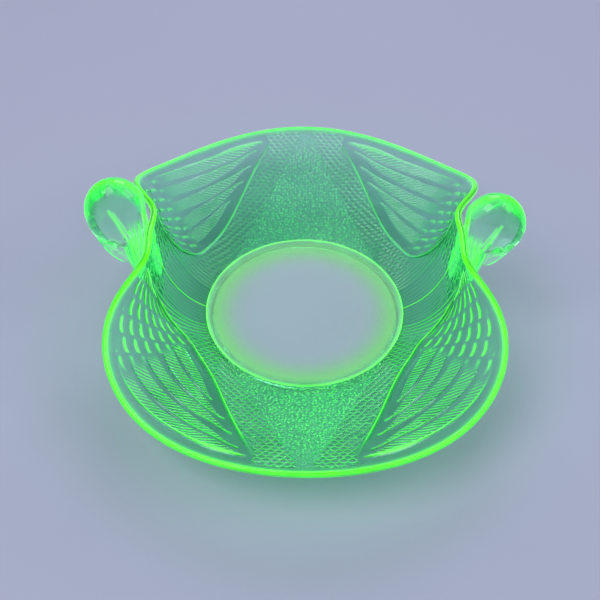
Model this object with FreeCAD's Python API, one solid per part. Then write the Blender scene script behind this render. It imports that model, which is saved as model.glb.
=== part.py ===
"""A footed bowl of pressed uranium glass with two swan handles.

The bowl is one pressing with two planes of symmetry. Its wall is one surface, P(azimuth, climb): climb 0 is the
foot, climb 1 the rim. Each node is a region of that pressing, cut along a line that shows on the glass. X runs
through the two swans, Y through the two low middles of the rim, Z is up. The origin is the middle of the circle
that the dish stands on.
"""

import FreeCAD, Part
import math
import os

from FreeCAD import Vector

# ---- driving dimensions, in mm and degrees ----
GLASS = 5.0  # thickness of the wall
FLOOR_TOP = 6.5  # height of the flat inside of the bowl
FLOOR_UNDER = 2.0  # height of the floor's underside, clear of the table
FLOOR_R = 56.0  # radius of the clear flat bottom
FOOT_OUT_R = 60.0  # outer edge of the circle that the dish stands on
FOOT_IN_R = 57.5  # inner edge of that circle
WALL_R = 60.5  # radius where the wall leaves the floor
WALL_START = 27.0  # slope of the wall where it leaves the floor

RIM_R = 140.5  # radius of the round front and back of the rim, in plan
PINCH_IN = 54.0  # how far each side is pressed in, in plan
PINCH_AT = 26.1  # azimuth where half of the pinch is gone
PINCH_POWER = 4.56  # how sharply it goes
RIM_LOW = 21.8  # height that the two rises of the rim are added to
SIDE_RISE = 48.0  # rise of the rim to the swans
SIDE_AT = 38.4  # azimuth where half of that rise is gone
SIDE_POWER = 4.88  # how sharply it goes
MIDDLE_RISE = 15.3  # rise of the rim to its front and back middles
FLARE = 22.0  # slope of the wall at the rim, front and back
SIDE_STEEPER = 72.0  # how much steeper it is at the swans
LIP = 2.0  # how far the rounded lip stands past climb 1

BAND = 0.94  # climb where the plain rim band begins
BREAST_END = 14.0  # azimuth where the side wall under a swan ends
RIB_LOW_AT = 35.0  # azimuth of the lowest point of a wing rib
RIB_LOW = 0.215  # its climb there
RIB_SIDE_RISE = 0.145  # rise towards the swan
RIB_SIDE_SPAN = 13.0  # over this azimuth
RIB_MIDDLE_RISE = 0.70  # rise towards the middle of the rim
RIB_MIDDLE_SPAN = 45.5  # over this azimuth
RIB_POWER = 2.35
RIB_HALF = 1.6  # half the width of a rib
RIB_PROUD = 1.5  # how far it stands in from the wall
WING_TIP = 78.5  # azimuth where a wing ends
PANEL_LINE = 58.6  # distance of a stippled panel's straight edge from the Z axis, in plan
PANEL_TOP = 88.0  # azimuth where that edge stops, beside the middle of the rim

# The swan, in the plane Y = 0: X, Z, half width in the plane, half width across it
NECK = [(92.0, 33.0, 5.5, 8.5), (96.5, 48.0, 9.0, 10.5), (98.5, 66.0, 9.5, 10.5), (104.0, 82.0, 8.5, 9.5), (108.0, 89.0, 7.5, 8.5)]
HEAD_AT = (112.0, 79.0)  # middle of the head
HEAD_SIZE = (15.0, 21.5, 12.5)  # half width, half height, half thickness
HEAD_TILT = 8.0  # lean of the crown towards the bowl
BILL = [(116.0, 70.0, 9.0, 9.0), (112.5, 58.0, 6.5, 6.0), (106.5, 48.0, 3.0, 3.2)]

CUT_SLACK = 1.0e-3  # distance within which two surfaces count as touching when one is cut by the other
STEP_DEG = 1.0e-3  # step of the numeric slopes, degrees of azimuth
STEP_CLIMB = 1.0e-5  # step of the numeric slopes, climb


# ---- the wall as a surface ----
def fading(azimuth, half_at, power):
    """1 at the swans, one half at the azimuth half_at, and nearly 0 at the front and back."""
    ratio = abs(math.sin(math.radians(azimuth))) / math.sin(math.radians(half_at))
    return 1.0 / (1.0 + ratio**power)


def rim(azimuth):
    """Radius and height of the rim."""
    side = fading(azimuth, SIDE_AT, SIDE_POWER)
    middle = math.sin(math.radians(azimuth)) ** 4
    radius = RIM_R - PINCH_IN * fading(azimuth, PINCH_AT, PINCH_POWER)
    return radius, RIM_LOW + SIDE_RISE * side + MIDDLE_RISE * middle


def profile(azimuth, climb):
    """Radius and height on the inside of the wall: a cubic from the foot to the rim."""
    rim_r, rim_z = rim(azimuth)
    start = math.radians(WALL_START)
    end = math.radians(FLARE + SIDE_STEEPER * fading(azimuth, PINCH_AT, PINCH_POWER))
    arm = math.hypot(rim_r - WALL_R, rim_z - FLOOR_TOP) / 3.0
    radii = (WALL_R, WALL_R + arm * math.cos(start), rim_r - arm * math.cos(end), rim_r)
    heights = (FLOOR_TOP, FLOOR_TOP + arm * math.sin(start), rim_z - arm * math.sin(end), rim_z)
    rest = 1.0 - climb
    weights = (rest**3, 3 * rest**2 * climb, 3 * rest * climb**2, climb**3)
    return sum(w * r for w, r in zip(weights, radii)), sum(w * z for w, z in zip(weights, heights))


def inside(azimuth, climb):
    """The point on the inside of the wall."""
    radius, height = profile(azimuth, climb)
    turn = math.radians(azimuth)
    return Vector(radius * math.cos(turn), radius * math.sin(turn), height)


def slopes(azimuth, climb):
    """How the point moves per degree of azimuth and per whole climb."""
    around = inside(azimuth + STEP_DEG, climb) - inside(azimuth - STEP_DEG, climb)
    up = inside(azimuth, climb + STEP_CLIMB) - inside(azimuth, climb - STEP_CLIMB)
    return around * (0.5 / STEP_DEG), up * (0.5 / STEP_CLIMB)


def wall_point(azimuth, climb, depth):
    """The point that lies depth mm into the glass from the inside of the wall."""
    around, up = slopes(azimuth, climb)
    return inside(azimuth, climb) - up.cross(around).normalize() * depth


# ---- the lines that divide the wall ----
def rib_climb(azimuth):
    """Climb of the middle of a wing rib: it dips between the swan and the middle of the rim."""
    past = azimuth - RIB_LOW_AT
    if past < 0:
        return RIB_LOW + RIB_SIDE_RISE * (-past / RIB_SIDE_SPAN) ** 3
    return RIB_LOW + RIB_MIDDLE_RISE * (past / RIB_MIDDLE_SPAN) ** RIB_POWER


def rib_edge(azimuth, side):
    """Climb of a rib's lower (side -1) or upper (side 1) edge, square to the rib on the glass."""
    middle = rib_climb(azimuth)
    around, up = slopes(azimuth, middle)
    rise = (rib_climb(azimuth + STEP_DEG) - rib_climb(azimuth - STEP_DEG)) * (0.5 / STEP_DEG)
    steepness = rise * up.Length / around.Length
    return middle + side * RIB_HALF / up.Length * math.hypot(1.0, steepness)


def panel_azimuth(climb):
    """Azimuth of a stippled panel's straight edge: in plan it touches the foot and aims at the rim's middle."""
    tilt = 90.0 - math.degrees(math.acos(PANEL_LINE / RIM_R))
    return min(tilt + math.degrees(math.acos(PANEL_LINE / profile(90.0, climb)[0])), PANEL_TOP)


def panel_climb(azimuth):
    """Climb of that edge, by halving."""
    low = 0.0
    high = BAND
    for _ in range(40):
        middle = 0.5 * (low + high)
        if panel_azimuth(middle) < azimuth:
            low = middle
        else:
            high = middle
    return 0.5 * (low + high)


# ---- patches of wall and the solids made from them ----
def spread(first, last, count):
    """count evenly spaced values from first to last."""
    return [first + (last - first) * k / (count - 1) for k in range(count)]


def sector(first, last, low, high, columns, rows):
    """A patch between two azimuths and two lines climb = low(azimuth), climb = high(azimuth)."""
    return [
        [(azimuth, low(azimuth) + (high(azimuth) - low(azimuth)) * v) for v in spread(0.0, 1.0, rows)]
        for azimuth in spread(first, last, columns)
    ]


def panel_patch(low, high, columns, rows):
    """A patch between the two straight edges of a panel and two climbs."""
    return [
        [(90.0 + (90.0 - panel_azimuth(climb)) * u, climb) for climb in spread(low, high, rows)]
        for u in spread(-1.0, 1.0, columns)
    ]


def surface_through(points):
    """A smooth surface through rows of points."""
    surface = Part.BSplineSurface()
    surface.interpolate(points)
    return surface


def edges_of(surface):
    """The four edges of a surface, each as a shape."""
    u_first, u_last, v_first, v_last = surface.bounds()
    curves = (surface.uIso(u_first), surface.uIso(u_last), surface.vIso(v_first), surface.vIso(v_last))
    return [curve.toShape() for curve in curves]


def corner_key(patch, side):
    """The two corners of one side of a patch, which neighbours share."""
    corners = {
        0: (patch[0][0], patch[0][-1]),
        1: (patch[-1][0], patch[-1][-1]),
        2: (patch[0][0], patch[-1][0]),
        3: (patch[0][-1], patch[-1][-1]),
    }[side]
    return tuple(sorted((round(azimuth, 4), round(climb, 6)) for azimuth, climb in corners))


def solid_of(faces):
    """A closed solid sewn from faces that share their edges."""
    shell = Part.makeShell(faces)
    shell.sewShape()
    solid = Part.makeSolid(shell)
    if solid.Volume < 0:
        solid.reverse()
    return solid


def wall_solid(patches, proud=0.0):
    """The glass between the inside and the outside of the wall over patches, which may share sides."""
    faces = []
    keys = [corner_key(patch, side) for patch in patches for side in range(4)]
    for patch in patches:
        crests = spread(0.0, math.pi, len(patch[0]))
        inner = surface_through(
            [[wall_point(a, c, -proud * math.sin(t)) for (a, c), t in zip(row, crests)] for row in patch]
        )
        outer = surface_through([[wall_point(a, c, GLASS) for a, c in row] for row in patch])
        faces += [inner.toShape(), outer.toShape()]
        for side, (near, far) in enumerate(zip(edges_of(inner), edges_of(outer))):
            if keys.count(corner_key(patch, side)) == 1:
                faces.append(Part.makeRuledSurface(near, far))
    return solid_of(faces)


def mirrored(shape, across_x, across_y):
    """The same region in another quarter of the bowl."""
    copy = shape.copy()
    if across_x:
        copy = copy.mirror(Vector(0, 0, 0), Vector(1, 0, 0))
    if across_y:
        copy = copy.mirror(Vector(0, 0, 0), Vector(0, 1, 0))
    return copy


# ---- the regions of the bowl, for the quarter where X and Y are positive ----
def floor_disc():
    """The clear flat bottom."""
    return Part.makeCylinder(FLOOR_R, FLOOR_TOP - FLOOR_UNDER, Vector(0, 0, FLOOR_UNDER))


def foot_ring():
    """The ring round the bottom: flat crest underneath, slanted outer side that meets the wall."""
    slope = math.radians(WALL_START)
    wall_foot = (WALL_R + GLASS * math.sin(slope), FLOOR_TOP - GLASS * math.cos(slope))
    outline = [
        (FLOOR_R, FLOOR_TOP),
        (WALL_R, FLOOR_TOP),
        wall_foot,
        (FOOT_OUT_R, 0.0),
        (FOOT_IN_R, 0.0),
        (FLOOR_R, FLOOR_UNDER),
    ]
    corners = [Vector(radius, 0, height) for radius, height in outline]
    face = Part.Face(Part.makePolygon(corners + corners[:1]))
    return face.revolve(Vector(0, 0, 0), Vector(0, 0, 1), 360.0)


def breast():
    """The steep side wall under a swan."""
    return wall_solid([sector(-BREAST_END, BREAST_END, lambda a: 0.0, lambda a: BAND, 25, 13)])


def flank():
    """The scaled band between a wing rib and a panel, from the foot to beside the rim's middle."""
    foot_corner = panel_azimuth(0.0)
    rib_foot = rib_edge(WING_TIP, -1)
    last = 0.5 * (panel_climb(PANEL_TOP) + BAND)

    def split(azimuth):
        return rib_foot + (last - rib_foot) * (azimuth - WING_TIP) / (PANEL_TOP - WING_TIP)

    return wall_solid(
        [
            sector(BREAST_END, foot_corner, lambda a: 0.0, lambda a: rib_edge(a, -1), 27, 9),
            sector(foot_corner, WING_TIP, panel_climb, lambda a: rib_edge(a, -1), 31, 9),
            sector(WING_TIP, PANEL_TOP, panel_climb, split, 25, 7),
            sector(WING_TIP, PANEL_TOP, split, lambda a: BAND, 25, 7),
        ]
    )


def wing_rib():
    """The raised rib along the fold between a flank and a wing."""
    patch = sector(BREAST_END, WING_TIP, lambda a: rib_edge(a, -1), lambda a: rib_edge(a, 1), 57, 7)
    return wall_solid([patch], RIB_PROUD)


def wing():
    """The feathered wing, from its rib to the plain rim band."""
    return wall_solid([sector(BREAST_END, WING_TIP, lambda a: rib_edge(a, 1), lambda a: BAND, 57, 11)])


def panel():
    """The stippled triangle from the foot to the middle of the back rim."""
    knee = panel_climb(PANEL_TOP)
    return wall_solid([panel_patch(0.0, knee, 25, 25), panel_patch(knee, BAND, 25, 5)])


def rim_band():
    """The plain rounded band along the back half of the rim, from swan to swan."""
    azimuths = spread(0.0, 180.0, 361)
    climbs = spread(BAND, 1.0, 5)
    inner = surface_through([[wall_point(a, c, 0.0) for c in climbs] for a in azimuths])
    outer = surface_through([[wall_point(a, c, GLASS) for c in climbs] for a in azimuths])
    lip = surface_through([[lip_point(a, t) for t in spread(0.0, math.pi, 9)] for a in azimuths])
    inner_start, inner_end, inner_low, _ = edges_of(inner)
    outer_start, outer_end, outer_low, _ = edges_of(outer)
    lip_start, lip_end, _, _ = edges_of(lip)
    faces = [inner.toShape(), outer.toShape(), lip.toShape(), Part.makeRuledSurface(inner_low, outer_low)]
    for inner_side, outer_side, lip_side in (
        (inner_start, outer_start, lip_start),
        (inner_end, outer_end, lip_end),
    ):
        low = Part.makeLine(inner_side.Vertexes[0].Point, outer_side.Vertexes[0].Point)
        wire = Part.Wire(Part.__sortEdges__([low, inner_side, lip_side, outer_side]))
        faces.append(Part.Face(wire))
    return solid_of(faces)


def lip_point(azimuth, turn):
    """A point on the rounded lip: half an ellipse from the inside of the wall to the outside."""
    _, up = slopes(azimuth, 1.0)
    near = wall_point(azimuth, 1.0, 0.0)
    far = wall_point(azimuth, 1.0, GLASS)
    middle = (near + far) * 0.5
    return middle + (near - middle) * math.cos(turn) + up.normalize() * (LIP * math.sin(turn))


# ---- the swan on the side where X is positive ----
def sections(stations):
    """Oval sections square to the line through stations in the plane Y = 0."""
    wires = []
    for k, (x, z, half_in, half_across) in enumerate(stations):
        before = stations[max(k - 1, 0)]
        after = stations[min(k + 1, len(stations) - 1)]
        along = Vector(after[0] - before[0], 0, after[1] - before[1]).normalize()
        out = Vector(along.z, 0, -along.x)
        points = []
        for turn in spread(0.0, 2 * math.pi, 13)[:-1]:
            flat = out * (half_in * math.cos(turn))
            points.append(Vector(x, 0, z) + flat + Vector(0, half_across * math.sin(turn), 0))
        curve = Part.BSplineCurve()
        curve.interpolate(points, PeriodicFlag=True)
        wires.append(Part.Wire(curve.toShape()))
    return wires


def swan_head():
    """The rounded crown and the bill that is tucked down to the neck."""
    crown = Part.makeSphere(1.0)
    scale = FreeCAD.Matrix()
    scale.scale(HEAD_SIZE[0], HEAD_SIZE[2], HEAD_SIZE[1])
    crown = crown.transformGeometry(scale)
    crown.rotate(Vector(0, 0, 0), Vector(0, 1, 0), -HEAD_TILT)
    crown.translate(Vector(HEAD_AT[0], 0, HEAD_AT[1]))
    return crown.fuse(Part.makeLoft(sections(BILL), True))


def swan_neck(head, walls):
    """The neck that rises outside the pinched wall and ends in the head."""
    return Part.makeLoft(sections(NECK), True).cut([head] + walls, CUT_SLACK).Solids[0]


def save(name, shape):
    """Writes one node."""
    solids = shape.Solids
    box = shape.BoundBox
    print(f"{name}: {len(solids)} solid, valid {shape.isValid()}, {shape.Volume / 1000:.2f} cm3,"
          f" x {box.XMin:.1f} {box.XMax:.1f} y {box.YMin:.1f} {box.YMax:.1f} z {box.ZMin:.1f} {box.ZMax:.1f}")
    shape.exportStep(os.path.join("parts", name + ".step"))


def main():
    os.makedirs("parts", exist_ok=True)
    save("floor_disc", floor_disc())
    save("foot_ring", foot_ring())
    back_panel = panel()
    back_rim = rim_band()
    save("back_panel", back_panel)
    save("front_panel", mirrored(back_panel, False, True))
    save("rim_back", back_rim)
    save("rim_front", mirrored(back_rim, False, True))
    quarter = {"flank": flank(), "wing_rib": wing_rib(), "wing": wing()}
    for end, across_y in (("back", False), ("front", True)):
        for side, across_x in (("right", False), ("left", True)):
            for name, shape in quarter.items():
                save(f"{name}_{end}_{side}", mirrored(shape, across_x, across_y))
    side_wall = breast()
    head = swan_head()
    neck = swan_neck(head, [side_wall, back_rim, mirrored(back_rim, False, True)])
    for side, across_x in (("right", False), ("left", True)):
        save(f"breast_{side}", mirrored(side_wall, across_x, False))
        save(f"swan_head_{side}", mirrored(head, across_x, False))
        save(f"swan_neck_{side}", mirrored(neck, across_x, False))


main()
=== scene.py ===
"""A footed bowl of pressed uranium glass with two swan handles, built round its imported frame.

The wall of the bowl is one surface, P(azimuth, climb): climb 0 is the foot and climb 1 the rim. Every region
of the pressing is a closed piece of glass of its own. Neighbours reach a hair into each other, and the faces
that lie inside the neighbour's glass are marked as joints, which bend no light, so the wall reads as one
casting. Lengths are metres. X runs through the two swans, Y through the middles of the rim, Z is up.
"""

import math

import bpy
import numpy as np
from bpy.props import FloatProperty, FloatVectorProperty, PointerProperty
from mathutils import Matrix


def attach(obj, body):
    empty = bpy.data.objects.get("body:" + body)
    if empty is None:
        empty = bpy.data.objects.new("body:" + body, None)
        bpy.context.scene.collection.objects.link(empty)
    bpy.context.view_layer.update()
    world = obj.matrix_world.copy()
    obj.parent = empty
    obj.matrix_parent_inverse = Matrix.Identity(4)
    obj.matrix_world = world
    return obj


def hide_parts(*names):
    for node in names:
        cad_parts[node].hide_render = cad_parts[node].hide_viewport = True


bl_info = {
    "name": "Uranium Glass Swan Bowl",
    "version": (1, 0, 0),
    "blender": (4, 5, 0),
    "location": "View3D > Sidebar > Swan Bowl",
    "description": "Builds a pressed uranium glass bowl with feathered wings and two swan handles",
    "category": "Add Mesh",
}

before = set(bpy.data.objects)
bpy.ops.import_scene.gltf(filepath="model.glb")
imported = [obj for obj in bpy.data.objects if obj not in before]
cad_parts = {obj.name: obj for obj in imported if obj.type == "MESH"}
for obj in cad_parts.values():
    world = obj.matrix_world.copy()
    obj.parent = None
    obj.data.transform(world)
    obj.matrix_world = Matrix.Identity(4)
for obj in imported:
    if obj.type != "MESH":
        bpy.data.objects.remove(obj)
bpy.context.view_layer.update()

MM = 0.001
DEG = math.pi / 180
IOR = 1.5  # how strongly the glass bends light
# End and side of each quarter, and the signs that mirror the first quarter's X and Y into it
QUARTERS = [
    ("back", "right", 1, 1),
    ("back", "left", -1, 1),
    ("front", "right", 1, -1),
    ("front", "left", -1, -1),
]

# Joints between neighbouring regions, and the glow
REACH = 0.15 * MM  # how far a region reaches into its neighbour
SINK = 0.1 * MM  # how deep its edge lies under the neighbour's surface
FADE_SHARES = (0.012, 0.02)  # shares of a region over which its raised work fades out at the border
OUTSIDE_GLOW = 0.04  # mask of the smooth outside
BACK_DIM, FRONT_DIM = 0.4, 0.1  # how much weaker the glow is at the back and at the front

# Lines on a quarter of the wall, as azimuth in degrees against climb
BAND = 0.94  # climb where the plain rim band begins
RIM_END = 0.975  # climb where the lip begins to round
THIN_FROM = 0.5  # climb above which the wall gets thinner
BREAST_END = 14.0  # azimuth where the side walls under the swans end
WING_TIP = 78.5  # azimuth where the wings and their ribs end
PANEL_TOP = 88.0  # azimuth of a panel's edge at the rim
# A rib's lowest point, and its rises towards the swan and towards the middle of the rim
RIB_LOW_AT, RIB_LOW = 35.0, 0.215
RIB_SIDE_RISE, RIB_SIDE_SPAN = 0.145, 13.0
RIB_MIDDLE_RISE, RIB_MIDDLE_SPAN, RIB_POWER = 0.70, 45.5, 2.35

VANE_WIDER = 0.016  # climb by which a vane is wider at its root
# The five vanes of a wing: azimuths, climbs of the edge nearer the rib, climbs of the edge nearer the rim
VANES = [
    (
        (31, 36, 42, 48, 54, 58),
        (0.32, 0.30, 0.31, 0.335, 0.395, 0.455),
        (0.41, 0.39, 0.385, 0.41, 0.435, 0.456),
    ),
    (
        (34, 41, 48, 53, 58, 66),
        (0.43, 0.43, 0.435, 0.455, 0.485, 0.577),
        (0.505, 0.513, 0.515, 0.52, 0.54, 0.578),
    ),
    (
        (36, 43, 50, 57, 63, 70.5),
        (0.58, 0.565, 0.55, 0.56, 0.59, 0.694),
        (0.66, 0.64, 0.625, 0.63, 0.64, 0.695),
    ),
    (
        (38, 45, 52, 58, 66, 74),
        (0.71, 0.69, 0.675, 0.68, 0.715, 0.814),
        (0.80, 0.77, 0.75, 0.745, 0.757, 0.815),
    ),
    (
        (41, 48, 54, 60, 68, 76.5),
        (0.84, 0.82, 0.795, 0.785, 0.79, 0.875),
        (0.90, 0.885, 0.87, 0.865, 0.873, 0.877),
    ),
]

# Grid lines along and across each kind of region. The smooth outside has every COARSE-th of them
COARSE = 4
WING_COARSE = 8
PANEL_GRID = (241, 257)
BREAST_GRID = (121, 161)
WING_GRID = (361, 241)
RIB_GRID = (257, 17)
RIM_COLUMNS = 721
RIM_ROWS = 6
LIP_ROWS = 11
FLANK_ROWS = 101
FLANK_HALF_COLUMNS = 152
FLANK_TIP_COLUMNS = 16
ROUND_COLUMNS = 360  # columns of a turned piece
TUBE_COLUMNS = 64  # columns of a swan's parts
BALL_ROWS = 49
FLOOR_RINGS = 28
FOOT_RINGS = 20


# ---------------------------------------------------------------- sizes and colours


def number_property(name, description, default):
    """A plain number."""
    return FloatProperty(name=name, description=description, default=default)


def length_property(name, description, default):
    """A length in metres."""
    return FloatProperty(name=name, description=description, default=default, unit="LENGTH")


def angle_property(name, description, degrees):
    """An angle, given in degrees and kept in radians."""
    return FloatProperty(name=name, description=description, default=degrees * DEG, subtype="ANGLE")


def point_property(name, description, default):
    """Three lengths in metres along X, Y and Z."""
    return FloatVectorProperty(
        name=name, description=description, default=default, subtype="XYZ", unit="LENGTH"
    )


def turn_property(name, description, degrees):
    """Three Euler angles, given in degrees and kept in radians."""
    radians = [angle * DEG for angle in degrees]
    return FloatVectorProperty(name=name, description=description, default=radians, subtype="EULER")


def colour_property(name, description, default):
    """A colour of red, green and blue from 0 to 1."""
    return FloatVectorProperty(name=name, description=description, default=default, subtype="COLOR")


class BowlSizes(bpy.types.PropertyGroup):
    """Sizes of the bowl's wall, floor and foot."""

    glass: length_property("Glass", "Thickness of the wall", 5 * MM)
    rim_glass: length_property("Rim glass", "Thickness at the rim", 3.4 * MM)
    floor_top: length_property("Floor top", "Height of the flat inside", 6.5 * MM)
    floor_under: length_property("Floor under", "Height of the floor's underside", 2 * MM)
    floor_r: length_property("Floor radius", "Radius of the clear bottom", 56 * MM)
    foot_out_r: length_property("Foot outer radius", "Outer edge of the standing circle", 60 * MM)
    foot_in_r: length_property("Foot inner radius", "Inner edge of the standing circle", 57.5 * MM)
    wall_r: length_property("Wall radius", "Radius where the wall leaves the floor", 60.5 * MM)
    wall_start: angle_property("Wall start", "Slope of the wall at the floor", 27)
    rim_r: length_property("Rim radius", "Radius of the round front and back", 140.5 * MM)
    pinch_in: length_property("Pinch", "How far each side is pressed in", 54 * MM)
    pinch_at: angle_property("Pinch half way", "Azimuth where half of the pinch is gone", 26.1)
    pinch_power: number_property("Pinch power", "How sharply the pinch goes", 4.56)
    rim_low: length_property("Rim base", "Height that the rises of the rim are added to", 21.8 * MM)
    side_rise: length_property("Side rise", "Rise of the rim to the swans", 48 * MM)
    side_at: angle_property("Side half way", "Azimuth where half of that rise is gone", 38.4)
    side_power: number_property("Side power", "How sharply that rise goes", 4.88)
    middle_rise: length_property("Middle rise", "Rise of the rim to its middles", 15.3 * MM)
    flare: angle_property("Flare", "Slope of the wall at the rim's middles", 22)
    side_steeper: angle_property("Side steeper", "How much steeper it is at the swans", 72)
    lip: length_property("Lip", "How far the rounded lip stands past the band", 1.2 * MM)
    panel_line: length_property("Panel line", "Distance of a panel's edge from the middle", 58.6 * MM)


class ReliefSizes(bpy.types.PropertyGroup):
    """Sizes of the raised work that is pressed on the inside."""

    rib_half: length_property("Rib half width", "Half the width of a wing rib", 1.15 * MM)
    rib_proud: length_property("Rib height", "How far a rib stands in", 1.2 * MM)
    barb_pitch: length_property("Barb pitch", "Distance between the barbs of a feather", 1.95 * MM)
    barb_height: length_property("Barb height", "Height of a barb", 0.42 * MM)
    vane_height: length_property("Vane height", "Height of a feather's vane", 0.3 * MM)
    scale_pitch: length_property("Scale row", "Distance between rows of flank scales", 2.5 * MM)
    scale_width: length_property("Scale width", "Width of one flank scale", 4.3 * MM)
    scale_height: length_property("Scale height", "Height of a scale's edge", 0.55 * MM)
    stipple_pitch: length_property("Stipple pitch", "Distance between the grains of a panel", 1.8 * MM)
    stipple_height: length_property("Stipple height", "Height of a grain", 0.4 * MM)


class SwanSizes(bpy.types.PropertyGroup):
    """Sizes of a swan's head."""

    head_at: point_property("Head", "Middle of the head", (104.5 * MM, 0, 79.5 * MM))
    head_half: point_property(
        "Head half size", "Half width, thickness and height", (17.5 * MM, 13.5 * MM, 21.0 * MM)
    )
    head_tilt: angle_property("Head tilt", "Lean of the crown towards the bowl", 8)
    left_lift: length_property("Left lift", "How much higher the left head sits", 5 * MM)
    right_lift: length_property("Right lift", "How much higher the right head sits", -3 * MM)
    grain: length_property("Melt size", "Voxel in which neck, head and bill melt together", 0.55 * MM)


class GlassColours(bpy.types.PropertyGroup):
    """Colours of the glass: what glows and what is let through."""

    bright: colour_property("Bright glow", "Glow of thick glass and crests", (0.12, 1.0, 0.005))
    deep: colour_property("Deep glow", "Glow of thin plain glass", (0.02, 0.42, 0.16))
    wall_tint: colour_property("Wall tint", "Light that the wall lets through", (0.08, 0.72, 0.60))
    # Painted glow: a neon tint on the light let through, laid on by the glow mask so that the glowing parts
    # look saturated
    glow_tint: colour_property("Glow tint", "Light let through where the glow is full", (0.25, 1.0, 0.13))
    swan_tint: colour_property("Swan tint", "Light that the swans let through", (0.15, 0.85, 0.55))
    floor_tint: colour_property(
        "Floor tint", "Light that the clear bottom lets through", (0.30, 0.75, 0.70)
    )


class StudioSettings(bpy.types.PropertyGroup):
    """Camera, floor and lights."""

    camera_at: point_property("Camera", "Place of the camera", (-0.00407, -0.36244, 0.40811))
    camera_turn: turn_property("Camera turn", "Turn of the camera", (42.549, -0.496, 0.357))
    lens: number_property("Lens", "Focal length in millimetres on a 36 mm sensor", 52.72)
    floor: colour_property("Floor", "Colour of the floor", (0.55, 0.57, 0.70))


# ---------------------------------------------------------------- the wall as a surface


def fading(azimuth, half_at, power):
    """1 at the swans, a half at half_at and nearly 0 at front and back, by the formula
    1 / (1 + (|sin azimuth| / sin half_at)^power)."""
    return 1 / (1 + (np.abs(np.sin(azimuth)) / math.sin(half_at)) ** power)


def rim_line(size, azimuth):
    """Radius and height of the rim: two fading terms and the fourth power of the sine for the middles."""
    side = fading(azimuth, size.side_at, size.side_power)
    radius = size.rim_r - size.pinch_in * fading(azimuth, size.pinch_at, size.pinch_power)
    return radius, size.rim_low + size.side_rise * side + size.middle_rise * np.sin(azimuth) ** 4


def profile(size, azimuth, climb):
    """Radius and height inside the wall: a cubic Bezier curve from the foot to the rim, whose arms are a
    third as long as its chord."""
    rim_r, rim_z = rim_line(size, azimuth)
    end = size.flare + size.side_steeper * fading(azimuth, size.pinch_at, size.pinch_power)
    arm = np.hypot(rim_r - size.wall_r, rim_z - size.floor_top) / 3
    low_r, low_z = size.wall_r, size.floor_top
    radii = (low_r, low_r + arm * math.cos(size.wall_start), rim_r - arm * np.cos(end), rim_r)
    heights = (low_z, low_z + arm * math.sin(size.wall_start), rim_z - arm * np.sin(end), rim_z)
    rest = 1 - climb
    weights = (rest**3, 3 * rest**2 * climb, 3 * rest * climb**2, climb**3)
    return sum(w * r for w, r in zip(weights, radii)), sum(w * z for w, z in zip(weights, heights))


def inside(size, azimuth, climb):
    """The point inside the wall: the profile's radius and height turned to its azimuth."""
    radius, height = profile(size, azimuth, climb)
    return np.stack([radius * np.cos(azimuth), radius * np.sin(azimuth), height], -1)


def thickness(size, climb):
    """Thickness of the wall: the full glass low down, easing to the rim's glass above THIN_FROM."""
    thinned = smooth_step(THIN_FROM, RIM_END, climb)
    return (size.glass - (size.glass - size.rim_glass) * thinned)[..., None]


def unit(vectors):
    """Each vector divided by its length."""
    return vectors / np.maximum(np.linalg.norm(vectors, axis=-1, keepdims=True), 1e-12)


def slopes(size, azimuth, climb):
    """How the point moves per radian of azimuth and per whole climb, by central differences."""
    step = 1e-5
    around = inside(size, azimuth + step, climb) - inside(size, azimuth - step, climb)
    up = inside(size, azimuth, climb + step) - inside(size, azimuth, climb - step)
    return around / (2 * step), up / (2 * step)


def into_bowl(size, azimuth, climb):
    """Unit vector square to the wall, towards the inside of the bowl: up crossed with around."""
    around, up = slopes(size, azimuth, climb)
    return unit(np.cross(up, around))


# ---------------------------------------------------------------- the lines that divide the wall


def rib_climb(azimuth):
    """Climb of a rib's middle against azimuth in degrees: a cubic towards the swan and a power law towards
    the middle."""
    towards_swan = RIB_SIDE_RISE * (np.maximum(RIB_LOW_AT - azimuth, 0) / RIB_SIDE_SPAN) ** 3
    towards_middle = RIB_MIDDLE_RISE * (np.maximum(azimuth - RIB_LOW_AT, 0) / RIB_MIDDLE_SPAN) ** RIB_POWER
    return RIB_LOW + towards_swan + towards_middle


def rib_edge(size, azimuth, offset):
    """Climb of the line that runs offset metres beside a rib's middle, square to it on the glass."""
    middle = rib_climb(azimuth)
    around, up = slopes(size, azimuth * DEG, middle)
    step = 1e-3
    rise = (rib_climb(azimuth + step) - rib_climb(azimuth - step)) / (2 * step) / DEG
    up_length = np.linalg.norm(up, axis=-1)
    steepness = rise * up_length / np.linalg.norm(around, axis=-1)
    return middle + offset / up_length * np.hypot(1, steepness)


def panel_azimuth(size, climb):
    """Azimuth in degrees of a panel's straight edge, which in plan touches the foot and aims at the rim's
    middle."""
    tilt = 90 - math.degrees(math.acos(size.panel_line / size.rim_r))
    radius = profile(size, np.full_like(climb, math.pi / 2), climb)[0]
    return np.minimum(tilt + np.degrees(np.arccos(size.panel_line / radius)), PANEL_TOP)


def spread(first, last, count):
    """count evenly spaced values."""
    return np.linspace(first, last, count)


def full_turn(count):
    """count evenly spaced angles, once round."""
    return np.linspace(0, 2 * math.pi, count, endpoint=False)


def between(low, high, share):
    """Rows of values from the array low to the array high, in the given shares."""
    return low[:, None] + (high - low)[:, None] * share[None, :]


def smooth_step(low, high, value):
    """0 below low, 1 above high and 3t^2 - 2t^3 between."""
    t = np.clip((value - low) / (high - low), 0, 1)
    return t * t * (3 - 2 * t)


# ---------------------------------------------------------------- raised patterns

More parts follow.
